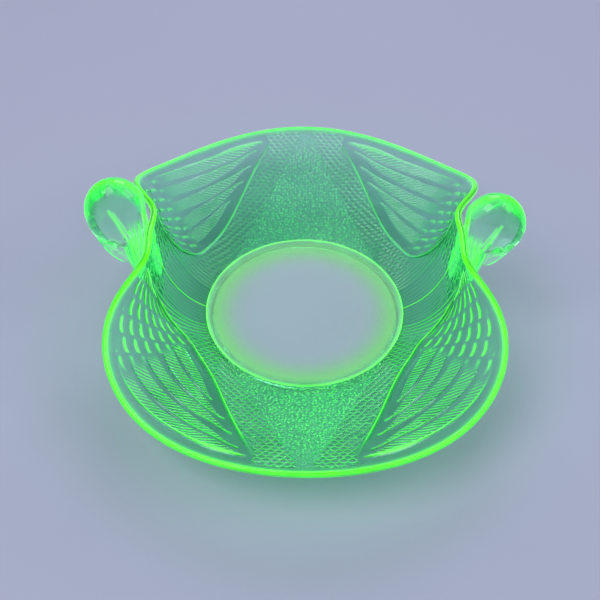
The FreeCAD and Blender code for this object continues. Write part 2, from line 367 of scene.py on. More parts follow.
SHAFT_HALF, SHAFT_HEIGHT = 0.45 * MM, 0.55 * MM  # half width and height of a feather's shaft
KEEL_HEIGHT = 0.6 * MM
KEEL_THICK_AT, KEEL_END = 69, 75.5  # azimuths where the keel is thickest and where it begins to end
COVERT_LENGTH = 4.4  # degrees of azimuth to a row of coverts
COVERT_COLUMNS = 7.5  # coverts from the rib to the rim
COVERT_TOP = 0.93  # climb where the coverts end
COVERT_EDGE = (31, 37)  # azimuths over which the coverts fade into the feathers
RAY_PITCH, FLUTE_PITCH, STROKE_PITCH = 2.1, 2.33, 3.1  # degrees between lines that fan down from a swan
RAY_HEIGHT, FLUTE_HEIGHT = 0.3 * MM, 0.22 * MM
STROKE_HEIGHT, SEAM_HEIGHT = 0.45 * MM, 0.35 * MM
STROKE_ROWS = 13  # rows of strokes from the foot to the rim
SCALES_FROM = (18, 30)  # azimuths over which a flank's rays give way to its scales
FINE_GRAIN = 0.6  # pitch of the finer grains, as a share of the coarser ones
GRAIN_TABLE = 64  # the scatter of the grains repeats after so many cells


def soft_line(azimuth, knots, climbs):
    """A line through knots, rounded by averaging it over 4 degrees."""
    return sum(np.interp(azimuth + d, knots, climbs) for d in (-2, -1, 0, 1, 2)) / 5


def scale_rows(along, across, depth):
    """Rows of overlapping scales, along in rows and across in scales. Row n ends at
    n + depth |sin pi(across + n/2)|: the glass climbs to that end and drops past it. Height from 0 to 1."""
    height = np.zeros_like(along)
    for offset in (-1, 0, 1):
        row = np.floor(along) + offset
        behind = row + depth * np.abs(np.sin(math.pi * (across + 0.5 * row))) - along
        climb = np.where(behind > 0, np.exp(-3.0 * behind), np.exp(-((behind / 0.16) ** 2)))
        height = np.maximum(height, climb)
    return height


def hooked_strokes(along, across):
    """Strokes, one to a cell, set half a cell aside from row to row. A stroke follows its cell's length t and
    bends aside by 0.34 t^3; its height is exp(-(distance / 0.16)^2). Gives the height from 0 to 1."""
    row = np.floor(along)
    t = along - row
    aside = across + 0.5 * row + 0.34 * t**3
    distance = aside - np.round(aside)
    ends = smooth_step(0, 0.3, t) * (1 - smooth_step(0.9, 1.0, t))
    return np.exp(-((distance / 0.16) ** 2)) * ends


def grains(x, y, pitch, seed):
    """Round grains scattered one to a square cell: the highest of exp(-(distance / 0.38 pitch)^2) over nearby
    grains, some of them lower than others."""
    table = np.random.default_rng(seed).random((GRAIN_TABLE, GRAIN_TABLE, 3))
    height = np.zeros_like(x)
    column, row = np.floor(x / pitch), np.floor(y / pitch)
    for i in (-1, 0, 1):
        for j in (-1, 0, 1):
            cell = table[(column + i).astype(int) % GRAIN_TABLE, (row + j).astype(int) % GRAIN_TABLE]
            away_x = x / pitch - (column + i + 0.15 + 0.7 * cell[..., 0])
            away_y = y / pitch - (row + j + 0.15 + 0.7 * cell[..., 1])
            grain = np.exp(-(away_x**2 + away_y**2) / 0.38**2)
            height = np.maximum(height, (0.5 + 0.5 * cell[..., 2]) * grain)
    return height


def wave_noise(x, y, length, seed):
    """A smooth wander between about -1 and 1: a fifth of the sum of twelve sine waves, of random heading and
    about the given length."""
    rng = np.random.default_rng(seed)
    total = np.zeros_like(x)
    for heading, phase, stretch in rng.random((12, 3)):
        turn = 2 * math.pi * heading
        way = (x * math.cos(turn) + y * math.sin(turn)) / length * (0.6 + 0.8 * stretch)
        total += np.sin(2 * math.pi * (way + phase))
    return total / 5


def border_fade(shape, share_u, share_v):
    """0 on the border of a grid and 1 further in than the given shares of it."""
    u, v = (spread(0, 1, n) for n in shape)
    fade_u = smooth_step(0, share_u, np.minimum(u, 1 - u))
    fade_v = smooth_step(0, share_v, np.minimum(v, 1 - v))
    return fade_u[:, None] * fade_v[None, :]


def barbs(point, pitch):
    """Fine ridges parallel to X: a raised cosine of y over the pitch that wanders a little, from 0 to 1."""
    x, y = np.abs(point[..., 0]), point[..., 1]
    wander = 0.22 * wave_noise(x, y, 14 * MM, 3)
    return (0.5 + 0.5 * np.cos(2 * math.pi * (y / pitch + wander))) ** 1.4


def vane_and_shaft(knots, lower, upper, azimuth, climb, reach):
    """Where a vane's plateau lies and where the shaft along its outer edge lies, each from 0 to 1."""
    wider = VANE_WIDER * (1 - smooth_step(knots[0], knots[-1], azimuth))
    near = soft_line(azimuth, knots, lower) - wider
    far = soft_line(azimuth, knots, upper) + 0.5 * wider
    inward = np.minimum(climb - near, far - climb) * reach
    start = smooth_step(knots[0] - 2.5, knots[0] + 2.5, azimuth)
    vane = smooth_step(-0.15 * MM, 0.75 * MM, inward) * start * (azimuth < knots[-1] + 1)
    shaft = np.exp(-(((climb - far) * reach / SHAFT_HALF) ** 2)) * smooth_step(46, 60, azimuth)
    return vane, shaft * (azimuth < knots[-1] + 0.5) * start


def keel_line(azimuth, climb, reach):
    """The keel of the outermost feather, from 0 to 1: a Gaussian ridge, thickest at KEEL_THICK_AT."""
    outer = soft_line(azimuth, VANES[-1][0], VANES[-1][2])
    half = (0.5 + 1.3 * np.exp(-(((azimuth - KEEL_THICK_AT) / 6) ** 2))) * MM
    keel = np.exp(-(((climb - outer) * reach / half) ** 2)) * smooth_step(34, 46, azimuth)
    return keel * (1 - smooth_step(KEEL_END, KEEL_END + 2, azimuth))


def wing_relief(size, relief, azimuth, climb, point):
    """Vanes with barbs, their shafts, the keel of the outermost feather and the coverts beside the swan.
    Gives the height in metres and the glow from 0 to 1."""
    reach = np.linalg.norm(slopes(size, azimuth * DEG, climb)[1], axis=-1)
    barb = barbs(point, relief.barb_pitch)
    height = np.zeros_like(azimuth)
    glow = np.zeros_like(azimuth)
    for knots, lower, upper in VANES:
        vane, shaft = vane_and_shaft(knots, lower, upper, azimuth, climb, reach)
        height += vane * (relief.vane_height + relief.barb_height * barb)
        height = np.maximum(height, SHAFT_HEIGHT * shaft)
        glow = np.maximum(glow, vane * (0.02 + 0.95 * barb**2.5))
        glow = np.maximum(glow, 0.8 * shaft)
    keel = keel_line(azimuth, climb, reach)
    height = np.maximum(height, KEEL_HEIGHT * keel)
    glow = np.maximum(glow, 0.95 * keel)
    rib = rib_climb(azimuth)
    share = (climb - rib) / (COVERT_TOP - rib)
    cover = hooked_strokes(azimuth / COVERT_LENGTH, share * COVERT_COLUMNS)
    place = smooth_step(0.03, 0.08, share) * (1 - smooth_step(0.94, 0.98, share))
    place *= 1 - smooth_step(*COVERT_EDGE, azimuth - 7 * (share - 0.3))
    height += place * cover * relief.scale_height
    return height, np.maximum(glow, place * 0.95 * cover)


def flank_relief(size, relief, azimuth, climb, point):
    """Rows of small scales that run parallel to X, with fine rays fanning down from the swan."""
    x, y = np.abs(point[..., 0]), point[..., 1]
    wander = 0.35 * wave_noise(x, y, 22 * MM, 5)
    cover = scale_rows(y / relief.scale_pitch + wander, x / relief.scale_width + 0.2 * wander, 0.5)
    rays = (0.5 + 0.5 * np.cos(2 * math.pi * azimuth / RAY_PITCH)) ** 3 * (1 - smooth_step(20, 30, azimuth))
    place = smooth_step(*SCALES_FROM, azimuth)
    height = place * cover * relief.scale_height + rays * RAY_HEIGHT
    glow = np.maximum(place * 0.95 * cover**3, 0.65 * rays)
    return height, glow + 0.02


def breast_relief(size, relief, azimuth, climb, point):
    """Flutes that fan down from the swan, short strokes above them and the fine seam of the mould."""
    flutes = (0.5 + 0.5 * np.cos(2 * math.pi * azimuth / FLUTE_PITCH)) ** 2
    strokes = scale_rows(climb * STROKE_ROWS, azimuth / STROKE_PITCH, 0.6)
    strokes = strokes * smooth_step(0.45, 0.6, climb)
    seam = np.exp(-((azimuth / 0.35) ** 2))
    height = FLUTE_HEIGHT * flutes * (1 - smooth_step(0.4, 0.6, climb))
    height = height + STROKE_HEIGHT * strokes + SEAM_HEIGHT * seam
    return height, np.clip(0.30 * flutes**2 + 0.5 * strokes**3 + 0.8 * seam, 0, 1)


def panel_relief(size, relief, azimuth, climb, point):
    """Grains scattered all over, in two sizes."""
    x, y = point[..., 0], point[..., 1]
    coarse = grains(x, y, relief.stipple_pitch, 11)
    fine = grains(x, y, relief.stipple_pitch * FINE_GRAIN, 12)
    height = relief.stipple_height * (0.7 * coarse + 0.3 * fine)
    lit = 1 - 0.7 * smooth_step(0.6, 0.95, climb)
    return height, np.clip(1.1 * coarse**2 + 0.35 * fine**2, 0, 1) * lit


# ---------------------------------------------------------------- closed meshes


def grid_numbers(columns, rows, first=0):
    """Vertex numbers of a grid."""
    return first + np.arange(columns * rows).reshape(columns, rows)


def closed_across(ids):
    """The same numbers with the first row repeated as the last, so that the grid closes on itself."""
    return np.concatenate([ids, ids[:, :1]], 1)


def grid_faces(ids):
    """Quads over a grid of vertex numbers."""
    return np.stack([ids[:-1, :-1], ids[1:, :-1], ids[1:, 1:], ids[:-1, 1:]], -1).reshape(-1, 4)


def border(ids):
    """The four sides of a grid of vertex numbers, once round."""
    return ids[:, 0], ids[-1, :], ids[::-1, -1], ids[0, ::-1]


def strip(fine, coarse, places):
    """Triangles between a finely and a coarsely divided side. places are the coarse points' numbers on the
    fine one."""
    owner = np.searchsorted(places, np.arange(len(fine) - 1), side="right") - 1
    thin = np.stack([fine[1:], fine[:-1], coarse[owner]], -1)
    wide = np.stack([fine[places[1:]], coarse[:-1], coarse[1:]], -1)
    return np.concatenate([thin, wide])


def with_margin(points, into):
    """A grid with one more row all round, REACH further out along the surface and SINK deeper in."""
    for _ in range(2):
        first = points[:1] + unit(points[:1] - points[1:2]) * REACH + into[:1] * SINK
        last = points[-1:] + unit(points[-1:] - points[-2:-1]) * REACH + into[-1:] * SINK
        points = np.concatenate([first, points, last]).transpose(1, 0, 2)
        into = np.concatenate([into[:1], into, into[-1:]]).transpose(1, 0, 2)
    return points


def is_margin(columns, rows):
    """True for the outermost faces of a grid."""
    ring = np.ones((columns - 1, rows - 1), bool)
    ring[1:-1, 1:-1] = False
    return ring.ravel()


def outward(points, faces):
    """The faces turned so that the closed mesh holds a positive volume."""
    volume = 0
    for part in faces:
        a, b, c = (points[part[:, k]] for k in (0, 1, 2))
        volume += np.einsum("ij,ij->i", a, np.cross(b, c)).sum()
        if part.shape[1] == 4:
            volume += np.einsum("ij,ij->i", a, np.cross(c, points[part[:, 3]])).sum()
    return faces if volume > 0 else [part[:, ::-1] for part in faces]


def make_piece(name, points, faces, joints, glow, material, slot, nodes):
    """A piece of glass from points, lists of quads and triangles, and for each list which faces are joints.
    Edges beside a joint are sharp, so that each side of them is shaded on its own."""
    faces = outward(points, faces)
    name = "glass_" + name
    joint = np.concatenate(joints)
    loops = np.concatenate([part.ravel() for part in faces]).astype(np.int32)
    counts = np.concatenate([np.full(len(part), part.shape[1]) for part in faces])
    mesh = bpy.data.meshes.new(name)
    mesh.vertices.add(len(points))
    mesh.vertices.foreach_set("co", points.astype(np.float32).ravel())
    mesh.loops.add(len(loops))
    mesh.loops.foreach_set("vertex_index", loops)
    mesh.polygons.add(len(counts))
    mesh.polygons.foreach_set("loop_start", (np.cumsum(counts) - counts).astype(np.int32))
    mesh.update(calc_edges=True)
    mesh.polygons.foreach_set("use_smooth", ~joint)
    edge_of = np.empty(len(loops), np.int32)
    mesh.loops.foreach_get("edge_index", edge_of)
    beside_joint = np.bincount(edge_of, weights=np.repeat(joint, counts), minlength=len(mesh.edges)) == 1
    attribute = mesh.attributes.new("sharp_edge", "BOOLEAN", "EDGE")
    attribute.data.foreach_set("value", beside_joint)
    attribute = mesh.attributes.new("glow", "FLOAT", "POINT")
    attribute.data.foreach_set("value", glow.astype(np.float32).ravel())
    attribute = mesh.attributes.new("joint", "FLOAT", "FACE")
    attribute.data.foreach_set("value", joint.astype(np.float32))
    mesh.materials.append(material)
    mesh.validate()
    piece = bpy.data.objects.new(name, mesh)
    bpy.context.scene.collection.objects.link(piece)
    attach(piece, "root")
    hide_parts(*nodes)


def wall_shell(size, relief, pattern, azimuth, climb, coarse):
    """A closed slab of wall over a grid of azimuths (degrees) and climbs. The inside carries the pattern,
    faded out at its border; the outside is smooth and has every coarse-th point. Gives the points, faces,
    joints and glow that make_piece takes."""
    base = inside(size, azimuth * DEG, climb)
    into = into_bowl(size, azimuth * DEG, climb)
    height, glow = pattern(size, relief, azimuth, climb, base)
    fade = border_fade(azimuth.shape, *FADE_SHARES)
    inner = with_margin(base + into * (height * fade)[..., None], -into)
    far = (base - into * thickness(size, climb))[::coarse, ::coarse]
    outer = with_margin(far, into[::coarse, ::coarse])
    ids = grid_numbers(*inner.shape[:2])
    outer_ids = grid_numbers(*outer.shape[:2], first=ids.size)
    strips = []
    for fine, rough in zip(border(ids), border(outer_ids)):
        places = np.concatenate([[0], 1 + coarse * np.arange(len(rough) - 2), [len(fine) - 1]])
        strips.append(strip(fine, rough, places))
    faces = [grid_faces(ids), grid_faces(outer_ids)[:, ::-1], np.concatenate(strips)]
    joints = [is_margin(*ids.shape), is_margin(*outer_ids.shape), np.ones(len(faces[2]), bool)]
    inner_glow = np.pad(glow, 1, mode="edge").ravel()
    outer_glow = np.full(outer_ids.size, OUTSIDE_GLOW)
    points = np.concatenate([inner.reshape(-1, 3), outer.reshape(-1, 3)])
    return points, faces, joints, np.concatenate([inner_glow, outer_glow])


def mirrored(points, sign_x, sign_y):
    """The same points in another quarter of the bowl."""
    return points * np.array([sign_x, sign_y, 1.0])


# ---------------------------------------------------------------- glass materials


def socket_group(name, inputs, outputs):
    """An empty shader group with the given inputs and outputs."""
    group = bpy.data.node_groups.new(name, "ShaderNodeTree")
    for label, kind, default in inputs:
        socket = group.interface.new_socket(label, in_out="INPUT", socket_type=kind)
        if default is not None:
            socket.default_value = default
    for label, kind in outputs:
        group.interface.new_socket(label, in_out="OUTPUT", socket_type=kind)
    return group, group.nodes.new("NodeGroupInput"), group.nodes.new("NodeGroupOutput")


def maths(tree, operation, *values):
    """A Math node; a value is a number or a socket."""
    node = tree.nodes.new("ShaderNodeMath")
    node.operation = operation
    for k, value in enumerate(values):
        if isinstance(value, (int, float)):
            node.inputs[k].default_value = value
        else:
            tree.links.new(value, node.inputs[k])
    return node.outputs[0]


def mixed_colour(tree, share, first, second):
    """A colour between two colours, given as colours or sockets."""
    node = tree.nodes.new("ShaderNodeMix")
    node.data_type = "RGBA"
    tree.links.new(share, node.inputs["Factor"])
    for key, value in ((6, first), (7, second)):
        if isinstance(value, bpy.types.NodeSocket):
            tree.links.new(value, node.inputs[key])
        else:
            node.inputs[key].default_value = value
    return node.outputs[2]


def noise(tree, vector, scale, detail=2.0):
    """A noise texture's value; scale is a number or a socket."""
    node = tree.nodes.new("ShaderNodeTexNoise")
    node.inputs["Detail"].default_value = detail
    tree.links.new(vector, node.inputs["Vector"])
    if isinstance(scale, (int, float)):
        node.inputs["Scale"].default_value = scale
    else:
        tree.links.new(scale, node.inputs["Scale"])
    return node.outputs["Fac"]


RUBBED_SCALE, RUBBED_FROM = 260.0, 0.62  # noise of the rubbed spots and the level above which it is rubbed
BUMP_DISTANCE = 0.5 * MM
SKIN_INPUTS = ("Ripple scale", "Peel scale", "Peel share", "Smooth roughness", "Rubbed roughness")


def uranium_glow_group():
    """Painted glow by the mask, clouded by noise, and a painted neon tint on the light let through, by the
    same mask. A joint neither glows nor tints.
    """
    group, given, result = socket_group(
        "Uranium glow",
        [
            ("Vector", "NodeSocketVector", None),
            ("Mask", "NodeSocketFloat", 0.0),
            ("Deep", "NodeSocketColor", (0, 0.3, 0.1, 1)),
            ("Bright", "NodeSocketColor", (0.1, 1, 0, 1)),
            ("Clear", "NodeSocketColor", (1, 1, 1, 1)),
            # Painted glow: the neon tint of the light let through where the glow is full
            ("Glow tint", "NodeSocketColor", (0.4, 1, 0.1, 1)),
            ("Joint", "NodeSocketFloat", 0.0),
            ("Floor level", "NodeSocketFloat", 0.1),
            ("Cloud scale", "NodeSocketFloat", 40.0),
            ("Cloud amount", "NodeSocketFloat", 0.2),
        ],
        [("Color", "NodeSocketColor"), ("Tint", "NodeSocketColor")],
    )
    wanted = given.outputs
    clouds = noise(group, wanted["Vector"], wanted["Cloud scale"])
    swing = maths(group, "MULTIPLY", maths(group, "SUBTRACT", clouds, 0.5), wanted["Cloud amount"])
    share = maths(group, "ADD", wanted["Mask"], swing)
    share = maths(group, "MINIMUM", maths(group, "MAXIMUM", share, 0.0), 1.0)
    hue = mixed_colour(group, share, wanted["Deep"], wanted["Bright"])
    level = maths(group, "ADD", share, wanted["Floor level"])
    level = maths(group, "MULTIPLY", level, maths(group, "SUBTRACT", 1.0, wanted["Joint"]))
    # Painted glow: the light let through shifts from the clear colour to the neon tint as the glow mask rises
    tint = mixed_colour(group, share, wanted["Clear"], wanted["Glow tint"])
    tint = mixed_colour(group, wanted["Joint"], tint, (1, 1, 1, 1))
    group.links.new(tint, result.inputs["Tint"])
    dim = group.nodes.new("ShaderNodeVectorMath")
    dim.operation = "SCALE"
    group.links.new(hue, dim.inputs[0])
    group.links.new(level, dim.inputs["Scale"])
    group.links.new(dim.outputs[0], result.inputs["Color"])
    return group


def pressed_skin_group():
    """The skin of pressed glass: slow ripples, a fine orange peel and rubbed spots. Height and roughness."""
    group, given, result = socket_group(
        "Pressed skin",
        [
            ("Vector", "NodeSocketVector", None),
            ("Ripple scale", "NodeSocketFloat", 90.0),
            ("Peel scale", "NodeSocketFloat", 900.0),
            ("Peel share", "NodeSocketFloat", 0.2),
            ("Smooth roughness", "NodeSocketFloat", 0.02),
            ("Rubbed roughness", "NodeSocketFloat", 0.12),
        ],
        [("Height", "NodeSocketFloat"), ("Roughness", "NodeSocketFloat")],
    )
    wanted = given.outputs
    ripple = noise(group, wanted["Vector"], wanted["Ripple scale"], 1.0)
    peel = noise(group, wanted["Vector"], wanted["Peel scale"], 3.0)
    height = maths(group, "ADD", ripple, maths(group, "MULTIPLY", peel, wanted["Peel share"]))
    spots = noise(group, wanted["Vector"], RUBBED_SCALE, 4.0)
    rubbed = maths(group, "GREATER_THAN", spots, RUBBED_FROM)
    smooth, rough = wanted["Smooth roughness"], wanted["Rubbed roughness"]
    added = maths(group, "MULTIPLY", maths(group, "SUBTRACT", rough, smooth), rubbed)
    roughness = maths(group, "ADD", smooth, added)
    group.links.new(height, result.inputs["Height"])
    group.links.new(roughness, result.inputs["Roughness"])
    return group


def shared_group(name, builder):
    """The named group, built the first time it is asked for."""
    return bpy.data.node_groups.get(name) or builder()


def new_glass(name, base, tint, density, glow_strength, floor_level, clouds, skin, bump):
    """Uranium glass. base, tint and density are what it lets through; floor_level is the glow at mask 0."""
    colours = bpy.context.scene.glass_colours
    material = bpy.data.materials.new(name)
    material.use_nodes = True
    tree = material.node_tree
    shader = tree.nodes["Principled BSDF"]
    output = tree.nodes["Material Output"]
    place = tree.nodes.new("ShaderNodeTexCoord").outputs["Object"]
    mask = tree.nodes.new("ShaderNodeAttribute")
    mask.attribute_name = "glow"
    glow = tree.nodes.new("ShaderNodeGroup")
    glow.node_tree = shared_group("Uranium glow", uranium_glow_group)
    given = {
        "Deep": (*colours.deep, 1),
        "Bright": (*colours.bright, 1),
        "Clear": (*base, 1),
        # Painted glow: the neon tint that the light let through takes where the glow mask is full
        "Glow tint": (*colours.glow_tint, 1),
        "Floor level": floor_level,
        "Cloud scale": clouds[0],
        "Cloud amount": clouds[1],
    }
    for key, value in given.items():
        glow.inputs[key].default_value = value
    tree.links.new(place, glow.inputs["Vector"])
    tree.links.new(mask.outputs["Fac"], glow.inputs["Mask"])
    tree.links.new(glow.outputs["Color"], shader.inputs["Emission Color"])
    # The base colour is that tint: the clear colour where the mask is low, painted neon glow where it is full
    tree.links.new(glow.outputs["Tint"], shader.inputs["Base Color"])
    joint = tree.nodes.new("ShaderNodeAttribute")
    joint.attribute_name = "joint"
    tree.links.new(joint.outputs["Fac"], glow.inputs["Joint"])
    bending = maths(tree, "SUBTRACT", IOR, maths(tree, "MULTIPLY", joint.outputs["Fac"], IOR - 1))
    tree.links.new(bending, shader.inputs["IOR"])
    pressed = tree.nodes.new("ShaderNodeGroup")
    pressed.node_tree = shared_group("Pressed skin", pressed_skin_group)
    for key, value in zip(SKIN_INPUTS, skin):
        pressed.inputs[key].default_value = value
    tree.links.new(place, pressed.inputs["Vector"])
    relief = tree.nodes.new("ShaderNodeBump")
    relief.inputs["Distance"].default_value = BUMP_DISTANCE
    relief.inputs["Strength"].default_value = bump
    tree.links.new(pressed.outputs["Height"], relief.inputs["Height"])
    tree.links.new(relief.outputs["Normal"], shader.inputs["Normal"])
    tree.links.new(pressed.outputs["Roughness"], shader.inputs["Roughness"])
    shader.inputs["Emission Strength"].default_value = glow_strength
    shader.inputs["Transmission Weight"].default_value = 1.0
    shader.inputs["IOR"].default_value = IOR
    soak = tree.nodes.new("ShaderNodeVolumeAbsorption")
    soak.inputs["Color"].default_value = (*tint, 1)
    soak.inputs["Density"].default_value = density
    tree.links.new(soak.outputs["Volume"], output.inputs["Volume"])
    return material


def glass_recipes(colours):
    """For each kind: clear colour, tint, density, glow strength, glow at mask 0, clouds (scale, amount),
    skin (the values of SKIN_INPUTS) and bump strength."""
    wall_skin = (70.0, 700.0, 0.15, 0.015, 0.05)
    grainy_skin = (120.0, 1400.0, 0.8, 0.05, 0.20)
    floor_skin = (40.0, 500.0, 0.1, 0.01, 0.10)
    swan_skin = (110.0, 500.0, 0.1, 0.01, 0.03)
    wall, floor, swan = colours.wall_tint, colours.floor_tint, colours.swan_tint
    return {
        "wall": ((0.93, 1.0, 0.95), wall, 140, 1.0, 0.06, (60, 0.08), wall_skin, 0.25),
        "panel": ((0.90, 1.0, 0.90), wall, 140, 1.5, 0.08, (25, 0.20), grainy_skin, 0.5),
        "rim": ((0.85, 1.0, 0.80), wall, 140, 1.0, 0.08, (120, 0.25), wall_skin, 0.2),
        "foot": ((0.40, 0.90, 0.50), floor, 60, 1.2, 0.03, (90, 0.30), wall_skin, 0.2),
        "floor": ((0.97, 1.0, 0.99), floor, 60, 0.14, 0.02, (30, 0.05), floor_skin, 0.03),
        "swan": ((0.95, 1.0, 0.92), swan, 25, 0.8, 0.12, (90, 0.25), swan_skin, 0.3),
    }


def glass_for(kind):
    """The glass of a kind of region, made the first time it is asked for."""
    name = "uranium_" + kind
    recipe = glass_recipes(bpy.context.scene.glass_colours)[kind]
    return bpy.data.materials.get(name) or new_glass(name, *recipe)


# ---------------------------------------------------------------- operators: the bowl

FLOOR_EDGE_GLOW = 0.75
FLOOR_GLOW_FROM = (32 * MM, 57 * MM)  # radii over which the clear bottom begins to glow
FOOT_GLOW, INNER_LINE, OUTER_LINE = 0.12, 0.25, 0.88  # of the foot ring and the two lines on its top
FOOT_ROUNDING = 0.6 * MM


class SWANBOWL_OT_floor(bpy.types.Operator):
    """Build the clear flat bottom with its glowing edge"""

    bl_idname = "swanbowl.floor"
    bl_label = "Clear floor"

    def execute(self, context):
        size = context.scene.bowl_sizes
        edge = size.floor_r + REACH
        top = [(r, size.floor_top) for r in spread(2 * MM, size.floor_r, FLOOR_RINGS)]
        under = [(r, size.floor_under) for r, _ in top[::-1]]
        sides = [(edge, size.floor_top - SINK), (edge, size.floor_under + SINK)]
        outline = np.array([(0, size.floor_top), *top, *sides, *under, (0, size.floor_under)])
        hidden = [FLOOR_RINGS, FLOOR_RINGS + 1, FLOOR_RINGS + 2]
        glow = FLOOR_EDGE_GLOW * smooth_step(*FLOOR_GLOW_FROM, outline[:, 0]) ** 1.8
        lathe("floor_disc", outline, hidden, glow, False, "floor", "floor_glass", ["floor_disc"])
        return {"FINISHED"}


def rounded(corners, radius, count):
    """An outline with rounded corners: at each, a quadratic curve from radius before it to radius after."""
    corners = np.array(corners, float)
    before = unit(np.roll(corners, 1, 0) - corners) * radius
    after = unit(np.roll(corners, -1, 0) - corners) * radius
    t = spread(0, 1, count)[None, :, None]
    curve = (1 - t) ** 2 * before[:, None] + t**2 * after[:, None]
    return (corners[:, None] + curve).reshape(-1, 2)


def lathe(name, outline, hidden, glow, ring, kind, slot, nodes):
    """A turned piece: the outline of radius and height carried round Z. ring says that the outline closes
    on itself; otherwise its first and last points are poles. hidden are its segments that are joints."""
    count = ROUND_COLUMNS
    turn = full_turn(count)
    body = outline if ring else outline[1:-1]
    levels = glow if ring else glow[1:-1]
    radius, height = body[:, 0], body[:, 1]
    points = np.stack([np.outer(np.cos(turn), radius), np.outer(np.sin(turn), radius),
                       np.tile(height, (count, 1))], -1)
    ids = grid_numbers(count, len(body))
    ids = np.concatenate([ids, ids[:1]])
    if ring:
        ids = closed_across(ids)
    quads = grid_faces(ids)
    segment = np.tile(np.arange(ids.shape[1] - 1), count)
    offset = 0 if ring else 1
    faces, joints = [quads], [np.isin(segment + offset, hidden)]
    points = points.reshape(-1, 3)
    values = np.tile(levels, count)
    if not ring:
        low, high = len(points), len(points) + 1
        points = np.concatenate([points, [(0, 0, outline[0, 1]), (0, 0, outline[-1, 1])]])
        first = np.stack([np.full(count, low), ids[1:, 0], ids[:-1, 0]], -1)
        last = np.stack([np.full(count, high), ids[:-1, -1], ids[1:, -1]], -1)
        faces.append(np.concatenate([first, last]))
        joints.append(np.zeros(2 * count, bool))
        values = np.concatenate([values, glow[[0, -1]]])
    make_piece(name, points, faces, joints, values, glass_for(kind), slot, nodes)


class SWANBOWL_OT_foot(bpy.types.Operator):
    """Build the ring that the bowl stands on"""

    bl_idname = "swanbowl.foot"
    bl_label = "Foot ring"

    def execute(self, context):
        size = context.scene.bowl_sizes
        cosine, sine = math.cos(size.wall_start), math.sin(size.wall_start)
        wall_foot = (size.wall_r + size.glass * sine, size.floor_top - size.glass * cosine)
        under = [wall_foot, (size.foot_out_r, 0), (size.foot_in_r, 0), (size.floor_r, size.floor_under)]
        steps = 7
        below = rounded(under, FOOT_ROUNDING, steps)[steps : 3 * steps]
        outline = [
            *((r, size.floor_top) for r in spread(size.floor_r, size.wall_r, FOOT_RINGS)),
            (size.wall_r + REACH * cosine + SINK * sine, size.floor_top + REACH * sine - SINK * cosine),
            (wall_foot[0] + REACH * cosine - SINK * sine, wall_foot[1] + REACH * sine + SINK * cosine),
            wall_foot,
            *below,
            (size.floor_r, size.floor_under),
            (size.floor_r - REACH, size.floor_under + SINK),
            (size.floor_r - REACH, size.floor_top - SINK),
        ]
        outline = np.array(outline)
        last = len(outline) - 1
        hidden = [FOOT_RINGS - 1, FOOT_RINGS, FOOT_RINGS + 1, last - 2, last - 1, last]
        on_top = outline[:, 1] > size.floor_top - 0.5 * SINK
        inner = np.exp(-(((outline[:, 0] - size.wall_r + 1.5 * MM) / (0.4 * MM)) ** 2))
        outer = np.exp(-(((outline[:, 0] - size.wall_r) / (0.8 * MM)) ** 2))
        glow = FOOT_GLOW + INNER_LINE * inner * on_top + OUTER_LINE * outer * on_top
        lathe("foot_ring", outline, hidden, glow, True, "foot", "rim_glass", ["foot_ring"])
        return {"FINISHED"}


class SWANBOWL_OT_panels(bpy.types.Operator):
    """Build the stippled triangles at the front and back"""

    bl_idname = "swanbowl.panels"
    bl_label = "Stippled panels"

    def execute(self, context):
        size, relief = context.scene.bowl_sizes, context.scene.relief_sizes
        columns, rows = PANEL_GRID
        climb = spread(0, BAND, rows)
        edge = panel_azimuth(size, climb)
        azimuth = between(180 - edge, edge, spread(0, 1, columns)).T
        grid = wall_shell(size, relief, panel_relief, azimuth, np.tile(climb, (columns, 1)), COARSE)
        for end, sign in (("back", 1), ("front", -1)):
            glow = grid[3] * (1 - BACK_DIM if end == "back" else 1)
            make_piece(f"{end}_panel", mirrored(grid[0], 1, sign), grid[1], grid[2], glow, glass_for("panel"),
                       "panel_glass", [f"{end}_panel"])
        return {"FINISHED"}


class SWANBOWL_OT_breasts(bpy.types.Operator):
    """Build the steep walls under the swans"""

    bl_idname = "swanbowl.breasts"
    bl_label = "Side walls under the swans"

    def execute(self, context):
        size, relief = context.scene.bowl_sizes, context.scene.relief_sizes
        columns, rows = BREAST_GRID
        across = spread(-BREAST_END, BREAST_END, columns)
        azimuth, climb = np.meshgrid(across, spread(0, BAND, rows), indexing="ij")
        grid = wall_shell(size, relief, breast_relief, azimuth, climb, COARSE)
        for side, sign in (("right", 1), ("left", -1)):
            make_piece(f"breast_{side}", mirrored(grid[0], sign, 1), *grid[1:], glass_for("wall"),
                       "wall_glass", [f"breast_{side}"])
        return {"FINISHED"}


def place_in_quarters(name, grid, kind, slot):
    """The same region in each quarter of the bowl."""
    for end, side, sign_x, sign_y in QUARTERS:
        full = f"{name}_{end}_{side}"
        glow = grid[3] * (1 - BACK_DIM if end == "back" else 1)
        points = mirrored(grid[0], sign_x, sign_y)
        make_piece(full, points, grid[1], grid[2], glow, glass_for(kind), slot, [full])


